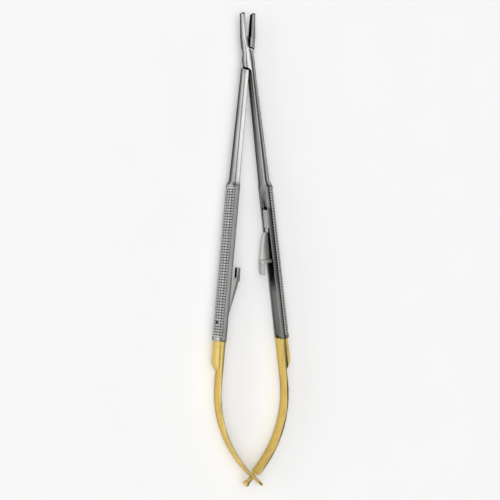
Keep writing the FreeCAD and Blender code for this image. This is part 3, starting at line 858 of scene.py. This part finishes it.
def wedge():
    """Bar in the channel and the wedge that rises from it, milled down in front as far as the ledge."""

    def parabola(t, *through):
        """The value at t on the parabola through three values, which lie at 0, a half and 1."""
        weights = (2 * (t - 0.5) * (t - 1), 4 * t * (1 - t), 2 * t * (t - 0.5))
        return sum(weight * value for weight, value in zip(weights, through))

    parts = 12
    swell = [
        (
            -parabola(i / parts, WEDGE_TOP_HEIGHT, WEDGE_MIDDLE_HEIGHT, WEDGE_HEIGHT),
            -parabola(i / parts, WEDGE_TOP, WEDGE_MIDDLE_AT, LEDGE_AT),
        )
        for i in range(parts + 1)
    ]
    bar_x = LEVER_RECESS + LEVER_BAR_THICKNESS
    outline = [(bar_x, -LEVER_PIN_AT), (LEVER_RECESS, -LEVER_PIN_AT), (LEVER_RECESS, -WEDGE_TOP)]
    outline += swell + [(bar_x, -LEDGE_AT)]
    milled = block(-FAR, FAR, -LEDGE_AT + LEDGE_THICKNESS, -WEDGE_TOP, LEVER_HALF_WIDTH - WEDGE_RELIEF, FAR)
    return cut(prism(outline, -LEVER_HALF_WIDTH, LEVER_HALF_WIDTH), milled)


def lever():
    """Hub, wedge and hook, swung to the channel's back wall."""
    hub = block(
        LEVER_RECESS, LEVER_RECESS + HUB_THICKNESS, -LEVER_PIN_AT - HUB_LENGTH / 2,
        -LEVER_PIN_AT + HUB_LENGTH / 2, -HUB_HALF_WIDTH, HUB_HALF_WIDTH,
    )
    outer_x = hook_face() - HOOK_THICKNESS
    hook = block(
        outer_x, hook_face(), -HOOK_END, -LEDGE_AT + HOOK_THICKNESS, -LEVER_HALF_WIDTH, LEVER_HALF_WIDTH
    )
    spun(hook, Z_AXIS, -HANDLE_SPLAY)
    half_notch = NOTCH_WIDTH / 2
    notch = block(-FAR, -HOOK_HEIGHT + NOTCH_DEPTH, -half_notch, half_notch, -FAR, FAR)
    moved(spun(notch, X_AXIS, NOTCH_TILT), Vector((0, -LEDGE_AT, 0)))
    pin_seat = cylinder(
        LEVER_PIN_HEAD_RADIUS, FAR, (LEVER_RECESS + LEVER_PIN_HEAD_DEPTH, -LEVER_PIN_AT, 0), -X_AXIS
    )
    body = eased(cut(fused(hub, wedge(), hook), pin_seat, notch), CATCH_EASE)
    # Painted shade on the lever's hub and on the bar between the hub and the wedge
    painted_shade = body.faces.layers.float.new(PAINTED_SHADE)
    hub_end = LEVER_PIN_AT + HUB_LENGTH / 2
    for face in body.faces:
        down = -face.calc_center_median().y
        if (down < hub_end + SLIVER and face.normal.x > -ROUGHLY_SQUARE) or hub_end + SLIVER < down < WEDGE_TOP:
            face[painted_shade] = 1.0
    return to_closed(spun(body, X_AXIS, LEVER_SWING, (0, -LEVER_PIN_AT, 0)))


def prong_and_foot():
    """Foot in the channel, a sloping back and the prong that points to the jaws."""
    prong_low = hook_face() + HOOK_GAP
    prong_high = prong_low + PRONG_THICKNESS
    side = [
        (CHANNEL_DEPTH, -PRONG_ROOT_AT), (-prong_high - half_gap(PRONG_ROOT_AT), -PRONG_ROOT_AT),
        (0, -CATCH_BACK_END), (0, -CATCH_FOOT_END), (CHANNEL_DEPTH, -CATCH_FOOT_END),
    ]
    body = other_side(to_closed(prism(side, -CHANNEL_HALF_WIDTH, -CATCH_INNER_Z)))
    prong = block(
        prong_low, prong_high, -PRONG_ROOT_AT - PRONG_THICKNESS, -PRONG_TIP_AT,
        CATCH_INNER_Z, CHANNEL_HALF_WIDTH,
    )
    return eased(fused(body, prong), CATCH_EASE)


class NEEDLEHOLDER_OT_catch(bpy.types.Operator):
    """The swinging lever and the fixed prong of the catch"""

    bl_idname = "needle_holder.catch"
    bl_label = "Catch"

    def execute(self, context):
        satin = satin_steel()
        swinging = placed(lever(), "catch_lever_ground", "right_side", satin)
        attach(swinging, "lever")
        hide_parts("catch_lever")
        fixed = placed(prong_and_foot(), "fixed_catch_ground", "left_side", dark_satin_steel())
        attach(fixed, "left_side")
        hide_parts("fixed_catch")
        finished_node("lever_spring", satin)
        return {"FINISHED"}


def hatched_insert(side_shade):
    """The -X insert: a slip of the jaw with a pyramid tooth in each square of its gripping face."""
    finish = settings()
    teeth = bmesh.new()
    rows = math.ceil(INSERT_LENGTH / finish.hatch_pitch)
    bmesh.ops.create_grid(teeth, x_segments=rows, y_segments=rows, size=finish.hatch_pitch * rows / 2)
    edges = [edge for edge in teeth.edges if edge.is_boundary]
    bmesh.ops.poke(teeth, faces=teeth.faces, offset=finish.tooth_height)
    thickness = INSERT_THICKNESS - JAW_FACE_GAP - finish.tooth_height
    bmesh.ops.holes_fill(teeth, edges=pulled(teeth, edges, -Z_AXIS * thickness), sides=0)
    closed_shell(teeth)
    spun(spun(teeth, Z_AXIS, 45), Y_AXIS, 90)
    moved(teeth, Vector((thickness - INSERT_THICKNESS, JAW_REACH - INSERT_LENGTH / 2, 0)))
    insert = common(jaw_body(), block(-FAR, FAR, JAW_REACH - INSERT_LENGTH, FAR, -FAR, FAR), teeth)
    teeth_and_side_shade = insert.faces.layers.float.new(TEETH_AND_SIDE_SHADE)
    for face in insert.faces:
        face[teeth_and_side_shade] = 1.0 if face.normal.x > 0.5 or face.normal.y > 0.2 else side_shade
    return insert


class NEEDLEHOLDER_OT_inserts(bpy.types.Operator):
    """The hard inserts of the jaws with their hatched gripping faces"""

    bl_idname = "needle_holder.inserts"
    bl_label = "Jaw inserts"

    def execute(self, context):
        metal = hard_metal()
        for node, side in (("front_jaw_insert", "right_side"), ("back_jaw_insert", "left_side")):
            # The back insert's sides are painted darker than the front's: painted shade
            form = hatched_insert(0.5 if side == "left_side" else 0.0)
            if side == "left_side":
                other_side(form)
            insert = placed(form, node + "_hatched", side, metal)
            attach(insert, side)
            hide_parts(node)
        return {"FINISHED"}


class NEEDLEHOLDER_OT_pins(bpy.types.Operator):
    """The finish of the screw, the lever's pin and the rivet"""

    bl_idname = "needle_holder.pins"
    bl_label = "Screw, pin and rivet"

    def execute(self, context):
        finished_node("pivot_screw", polished_steel())
        finished_node("lever_pin", satin_steel())
        finished_node("catch_rivet", rivet_steel())
        return {"FINISHED"}


def finished_node(name, material):
    """Gives a solid of the frame that is kept as it is its finished material."""
    mesh = frame["nodes"][name].data
    mesh.materials.clear()
    mesh.materials.append(material)


def node_of(tree, kind, inputs=None, **values):
    """A new node with its settings, and a link or a value for each input."""
    node = tree.nodes.new(kind)
    for name, value in values.items():
        setattr(node, name, value)
    for name, value in (inputs or {}).items():
        if isinstance(value, bpy.types.NodeSocket):
            tree.links.new(value, node.inputs[name])
        else:
            node.inputs[name].default_value = value
    return node


def worked(tree, operation, *values):
    return node_of(tree, "ShaderNodeMath", dict(enumerate(values)), operation=operation).outputs[0]


def linear(tree, value, factor, addend=0.0):
    """value x factor + addend, each a number or a socket."""
    return worked(tree, "MULTIPLY_ADD", value, factor, addend)


def spread(tree, value, low, high, smooth=False):
    """The stretch of a value from low to high, spread over 0 to 1 and cut off past them."""
    kind = "SMOOTHSTEP" if smooth else "LINEAR"
    inputs = {"Value": value, "From Min": low, "From Max": high}
    return node_of(tree, "ShaderNodeMapRange", inputs, interpolation_type=kind).outputs[0]


def scaled(tree, vector, factor):
    return node_of(tree, "ShaderNodeVectorMath", {0: vector, 3: factor}, operation="SCALE").outputs[0]


def blended(tree, factor, first, second):
    """Two colours mixed by a factor."""
    mix = node_of(tree, "ShaderNodeMix", {0: factor, 6: first, 7: second}, data_type="RGBA")
    return mix.outputs[2]


def noise(tree, vector, features, low=0.35, high=0.65, detail=2.0):
    """Noise with a number of features per millimetre along each axis, spread over 0 to 1."""
    place = node_of(tree, "ShaderNodeVectorMath", {0: vector, 1: features}, operation="MULTIPLY").outputs[0]
    value = node_of(tree, "ShaderNodeTexNoise", {"Vector": place, "Scale": 1.0, "Detail": detail})
    return spread(tree, value.outputs["Fac"], low, high)


def greater(tree, first, second):
    return worked(tree, "MAXIMUM", first, second)


def mark(tree, name):
    return node_of(tree, "ShaderNodeAttribute", attribute_name=name).outputs["Fac"]


def shared_group(name, inputs, outputs, build):
    """A node group by name, built on first use by a function that is given its inputs and gives its outputs."""
    made = bpy.data.node_groups.get(name)
    if made is None:
        made = bpy.data.node_groups.new(name, "ShaderNodeTree")
        for way, sockets in (("INPUT", inputs), ("OUTPUT", outputs)):
            for socket, kind in sockets.items():
                made.interface.new_socket(socket, in_out=way, socket_type="NodeSocket" + kind)
        out = made.nodes.new("NodeGroupOutput").inputs
        for socket, value in build(made, made.nodes.new("NodeGroupInput").outputs).items():
            made.links.new(value, out[socket])
    return made


def metal_grain():
    """Turning or grinding lines, handling smudges and fine scratches, from a place in millimetres."""

    def build(tree, given):
        place = given["Place"]
        round_lines = noise(tree, place, (0.6, 9.0, 0.6))
        long_lines = noise(tree, place, (6.0, 0.35, 6.0))
        picked = node_of(tree, "ShaderNodeMix", {0: given["Lengthwise"], 2: round_lines, 3: long_lines})
        smudge = noise(tree, place, (0.3, 0.16, 0.3), 0.4, 0.7, 4.0)
        scratch = noise(tree, place, (1.3, 0.12, 4.0), 0.64, 0.68, 1.0)
        return {"Grain": picked.outputs[0], "Smudge": smudge, "Scratch": scratch}

    return shared_group(
        "metal_grain", {"Place": "Vector", "Lengthwise": "Float"},
        {"Grain": "Float", "Smudge": "Float", "Scratch": "Float"}, build,
    )


def relief():
    """The normal of a surface with a fine height pattern, its depth in thousandths of a millimetre."""

    def build(tree, given):
        depth = linear(tree, given["Depth"], 1e-6)
        bump = node_of(tree, "ShaderNodeBump", {"Height": given["Height"], "Distance": depth, "Strength": 1.0})
        return {"Normal": bump.outputs[0]}

    return shared_group("relief", {"Height": "Float", "Depth": "Float"}, {"Normal": "Vector"}, build)


def object_place(tree):
    """The place on the object, in millimetres."""
    return scaled(tree, node_of(tree, "ShaderNodeTexCoord").outputs["Object"], 1 / MM)


def grouped(tree, group, **inputs):
    return node_of(tree, "ShaderNodeGroup", inputs, node_tree=group).outputs


def opaque(colour):
    return (*colour, 1.0)


def dimmed(colour, factor):
    return [factor * part for part in colour]


def material(name, metallic, rim, build, glow=0.0):
    """A material by name, with a tint for its rim, built on first use by a function that gives its sockets."""
    made = bpy.data.materials.get(name)
    if made is None:
        made = bpy.data.materials.new(name)
        made.use_nodes = True
        shader = made.node_tree.nodes["Principled BSDF"]
        shader.inputs["Metallic"].default_value = metallic
        shader.inputs["Specular Tint"].default_value = opaque(rim)
        shader.inputs["Emission Strength"].default_value = glow
        for socket, value in build(made.node_tree).items():
            made.node_tree.links.new(value, shader.inputs[socket])
    return made


def painted_side_shade():
    """How far a surface faces sideways or down, where the arms are painted darker as painted shade."""

    def build(tree, given):
        normal = node_of(tree, "ShaderNodeTexCoord").outputs["Normal"]
        upward = node_of(tree, "ShaderNodeSeparateXYZ", {"Vector": normal}).outputs["Z"]
        return {"Amount": linear(tree, spread(tree, upward, 0.3, 0.66, smooth=True), -1.0, 1.0)}

    return shared_group("painted_side_shade", {}, {"Amount": "Float"}, build)


def painted_channel_shade():
    """Painted shade in the channel beside the lever, from a place in millimetres."""

    def build(tree, given):
        down = node_of(tree, "ShaderNodeSeparateXYZ", {"Vector": given["Place"]}).outputs["Y"]
        pivot_y = PIVOT.y / MM
        top = spread(tree, down, pivot_y - POCKET_TOP + CHANNEL_SHADE_EDGE, pivot_y - POCKET_TOP - CHANNEL_SHADE_EDGE)
        bottom = spread(tree, down, pivot_y - HOOK_END - CHANNEL_SHADE_TAIL, pivot_y - HOOK_END, smooth=True)
        return {"Amount": linear(tree, top, bottom)}

    return shared_group("painted_channel_shade", {"Place": "Vector"}, {"Amount": "Float"}, build)


def steel(name, colour, roughness, lengthwise, rim=DARK_RIM, metallic=1.0):
    """Steel, darker and duller in grooves, recesses and the channel beside the lever, on milled faces and on the
    arms' low sides; the darkening is painted shade.
    """

    def build(tree):
        place = object_place(tree)
        grain = grouped(tree, metal_grain(), Place=place, Lengthwise=lengthwise)
        groove, edge, milled, painted_shade = (mark(tree, each) for each in (GROOVE, EDGE, MILLED_SHADE, PAINTED_SHADE))
        # Painted shade down in the knurl grooves
        groove = spread(tree, groove, 0.0, 0.6)
        # Painted shade on milled flats and on the arms' sideways and downward faces, which are also made rougher
        dull_and_shade = greater(tree, milled, linear(tree, mark(tree, ARM), grouped(tree, painted_side_shade())["Amount"]))
        channel_shade = linear(tree, mark(tree, FLOOR), grouped(tree, painted_channel_shade(), Place=place)["Amount"])
        level = linear(tree, grain["Smudge"], -0.08, 1.0)
        losses = (
            (grain["Grain"], 0.08), (grain["Scratch"], 0.06), (dull_and_shade, 0.66),
            (groove, 0.7), (painted_shade, 0.92), (channel_shade, 0.85),
        )
        for mask, loss in losses:
            level = linear(tree, level, linear(tree, mask, -loss, 1.0))
        level = linear(tree, edge, 0.06, level)
        shade = scaled(tree, colour, level)
        rough = linear(tree, grain["Smudge"], 0.07, roughness)
        for mask, gain in ((grain["Grain"], 0.05), (dull_and_shade, 0.12), (groove, 0.2), (painted_shade, 0.3), (channel_shade, 0.1)):
            rough = linear(tree, mask, gain, rough)
        height = linear(tree, grain["Scratch"], -0.5, grain["Grain"])
        normal = grouped(tree, relief(), Height=height, Depth=2.0)["Normal"]
        return {"Base Color": shade, "Roughness": rough, "Normal": normal}

    return material(name, metallic, rim, build)


def polished_steel():
    return steel("polished_bar_steel", settings().steel, 0.15, 0.0)


def knurled_steel():
    return steel("knurled_bar_steel", settings().steel, 0.34, 0.0, PALE_RIM)


def satin_steel():
    return steel("ground_lever_steel", settings().satin, 0.35, 1.0, PALE_RIM, metallic=0.6)


def dark_satin_steel():
    return steel("dark_ground_steel", settings().dark_satin, 0.36, 1.0)


def rivet_steel():
    # The rivet's end is steel dimmed to a fifth, nearly black: painted shade
    return steel("rivet_steel", dimmed(settings().dark_satin, 0.2), 0.4, 0.0)


def gold_plate():
    """Bright plating over fine grinding lines, duller and browner in patches and rubbed pale on its edges, with
    painted shade on its cut edges and its root's flats.
    """

    def build(tree):
        finish = settings()
        place = object_place(tree)
        grain = grouped(tree, metal_grain(), Place=place, Lengthwise=1.0)
        patches = noise(tree, place, (0.22, 0.12, 0.22), 0.5, 0.72, 3.0)
        plate = blended(tree, patches, opaque(finish.gold), opaque(finish.worn_gold))
        streaked = blended(tree, linear(tree, grain["Grain"], 0.25), plate, opaque(finish.worn_gold))
        rubbed = blended(tree, linear(tree, mark(tree, EDGE), 0.25), streaked, opaque(finish.steel))
        # Painted shade on the cut edges and the root's flats
        milled = linear(tree, mark(tree, MILLED_SHADE), 0.85)
        colour = blended(tree, milled, rubbed, opaque(dimmed(finish.worn_gold, 0.2)))
        rough = linear(tree, patches, 0.1, linear(tree, grain["Grain"], 0.06, 0.26))
        normal = grouped(tree, relief(), Height=grain["Grain"], Depth=3.0)["Normal"]
        return {"Base Color": colour, "Roughness": rough, "Normal": normal}

    return material("leaf_gold_plate", 1.0, GOLD_RIM, build)


def hard_metal():
    """Sintered carbide: its sides ground as bright as the jaw, on the back insert partly painted dark as painted
    shade, its teeth nearly black and finely grained.
    """

    def build(tree):
        finish = settings()
        place = object_place(tree)
        grit = noise(tree, place, (14.0, 14.0, 14.0), 0.3, 0.7)
        rubbed = noise(tree, place, (0.5, 0.5, 0.5), 0.45, 0.7, 3.0)
        teeth = mark(tree, TEETH_AND_SIDE_SHADE)
        pale = opaque(dimmed(finish.hard_metal, 3))
        dark = blended(tree, linear(tree, rubbed, 0.5), opaque(finish.hard_metal), pale)
        ground = blended(tree, linear(tree, grit, 0.2), opaque(finish.steel), opaque(finish.dark_satin))
        rough = linear(tree, teeth, 0.2, linear(tree, grit, 0.12, 0.26))
        normal = grouped(tree, relief(), Height=grit, Depth=4.0)["Normal"]
        return {"Base Color": blended(tree, teeth, ground, dark), "Roughness": rough, "Normal": normal}

    return material("sintered_carbide", 1.0, DARK_RIM, build)


def pale_table():
    """White laminate with a very faint mottle."""

    def build(tree):
        place = object_place(tree)
        mottle = noise(tree, place, (0.05, 0.05, 0.05), 0.3, 0.7, 3.0)
        colour = scaled(tree, studio().table, linear(tree, mottle, -0.012, 1.0))
        seen = node_of(tree, "ShaderNodeLightPath").outputs
        direct = greater(tree, seen["Is Camera Ray"], seen["Is Glossy Ray"])
        direct = greater(tree, direct, seen["Is Transmission Ray"])
        glow = scaled(tree, [studio().table_glow] * 3, direct)
        return {"Base Color": colour, "Roughness": linear(tree, mottle, 0.05, 0.6), "Emission Color": glow}

    return material("white_laminate", 0.0, PALE_RIM, build, glow=1.0)


def studio_world():
    """Light from above with a dark gap at each side and dark ends, before a backdrop as pale as the table."""
    world = bpy.data.worlds.new("studio")
    bpy.context.scene.world = world
    world.use_nodes = True
    tree = world.node_tree
    background = tree.nodes["Background"]
    direction = node_of(tree, "ShaderNodeTexCoord").outputs["Generated"]
    parts = node_of(tree, "ShaderNodeSeparateXYZ", {"Vector": direction}).outputs
    turn = worked(tree, "ARCTAN2", parts["X"], parts["Z"])
    ramp = node_of(tree, "ShaderNodeValToRGB", {"Fac": spread(tree, turn, -math.pi / 2, math.pi / 2)})
    elements = ramp.color_ramp.elements
    while len(elements) < len(SKY_STOPS):
        elements.new(0.5)
    for element, (degrees, level) in zip(elements, SKY_STOPS):
        element.position = degrees / 180 + 0.5
        element.color = opaque([level] * 3)
    endwise = worked(tree, "ABSOLUTE", parts["Y"])
    fade = linear(tree, spread(tree, endwise, 0.5, 0.8, smooth=True), -0.92, 1.0)
    light = linear(tree, fade, studio().sky_strength)
    seen = node_of(tree, "ShaderNodeLightPath").outputs["Is Camera Ray"]
    strength = node_of(tree, "ShaderNodeMix", {0: seen, 2: light, 3: 1.0}).outputs[0]
    backdrop = blended(tree, seen, ramp.outputs["Color"], opaque(studio().table))
    tree.links.new(backdrop, background.inputs["Color"])
    tree.links.new(strength, background.inputs["Strength"])


class NEEDLEHOLDER_OT_stage(bpy.types.Operator):
    """The pale table, the light and the camera"""

    bl_idname = "needle_holder.stage"
    bl_label = "Table, light and camera"

    def execute(self, context):
        bm = bmesh.new()
        bmesh.ops.create_grid(bm, x_segments=1, y_segments=1, size=TABLE_HALF_SIZE)
        table = linked(bm, "table")
        table.data.materials.append(pale_table())
        studio_world()
        stand = studio()
        low, high = cad_box
        aim = Vector(((low.x + high.x) / 2, (low.y + high.y) / 2, PIVOT.z))
        back = Vector((-math.sin(stand.camera_side), 0, math.cos(stand.camera_side)))
        camera = bpy.data.objects.new("camera", bpy.data.cameras.new("camera"))
        context.scene.collection.objects.link(camera)
        camera.data.lens = camera.data.sensor_width * stand.camera_distance / stand.frame_width
        turn = Matrix((Y_AXIS.cross(back), Y_AXIS, back)).transposed()
        roll = Matrix.Rotation(stand.camera_roll, 3, back)
        camera.matrix_world = Matrix.Translation(aim + back * stand.camera_distance) @ (roll @ turn).to_4x4()
        camera.data.clip_start = 0.01
        context.scene.camera = camera
        context.scene.view_settings.view_transform = "Standard"
        return {"FINISHED"}


class NEEDLEHOLDER_PT_panel(bpy.types.Panel):
    """Lists the pieces and their settings"""

    bl_idname = "NEEDLEHOLDER_PT_panel"
    bl_label = "Needle holder"
    bl_space_type = "VIEW_3D"
    bl_region_type = "UI"
    bl_category = "Needle holder"

    def draw(self, context):
        layout = self.layout
        for group in (settings(), studio()):
            for name in group.__annotations__:
                layout.prop(group, name)
        for operator in OPERATORS:
            layout.operator(operator.bl_idname)


OPERATORS = (
    NEEDLEHOLDER_OT_stage,
    NEEDLEHOLDER_OT_halves,
    NEEDLEHOLDER_OT_inserts,
    NEEDLEHOLDER_OT_pins,
    NEEDLEHOLDER_OT_springs,
    NEEDLEHOLDER_OT_catch,
)
CLASSES = (FinishSettings, StudioSettings) + OPERATORS + (NEEDLEHOLDER_PT_panel,)


def register():
    for each in CLASSES:
        bpy.utils.register_class(each)
    bpy.types.Scene.needle_holder_finish = bpy.props.PointerProperty(type=FinishSettings)
    bpy.types.Scene.needle_holder_studio = bpy.props.PointerProperty(type=StudioSettings)


def unregister():
    del bpy.types.Scene.needle_holder_studio
    del bpy.types.Scene.needle_holder_finish
    for each in reversed(CLASSES):
        bpy.utils.unregister_class(each)


def main():
    register()
    for operator in OPERATORS:
        group, name = operator.bl_idname.split(".")
        getattr(getattr(bpy.ops, group), name)()


if __name__ == "__main__":
    main()
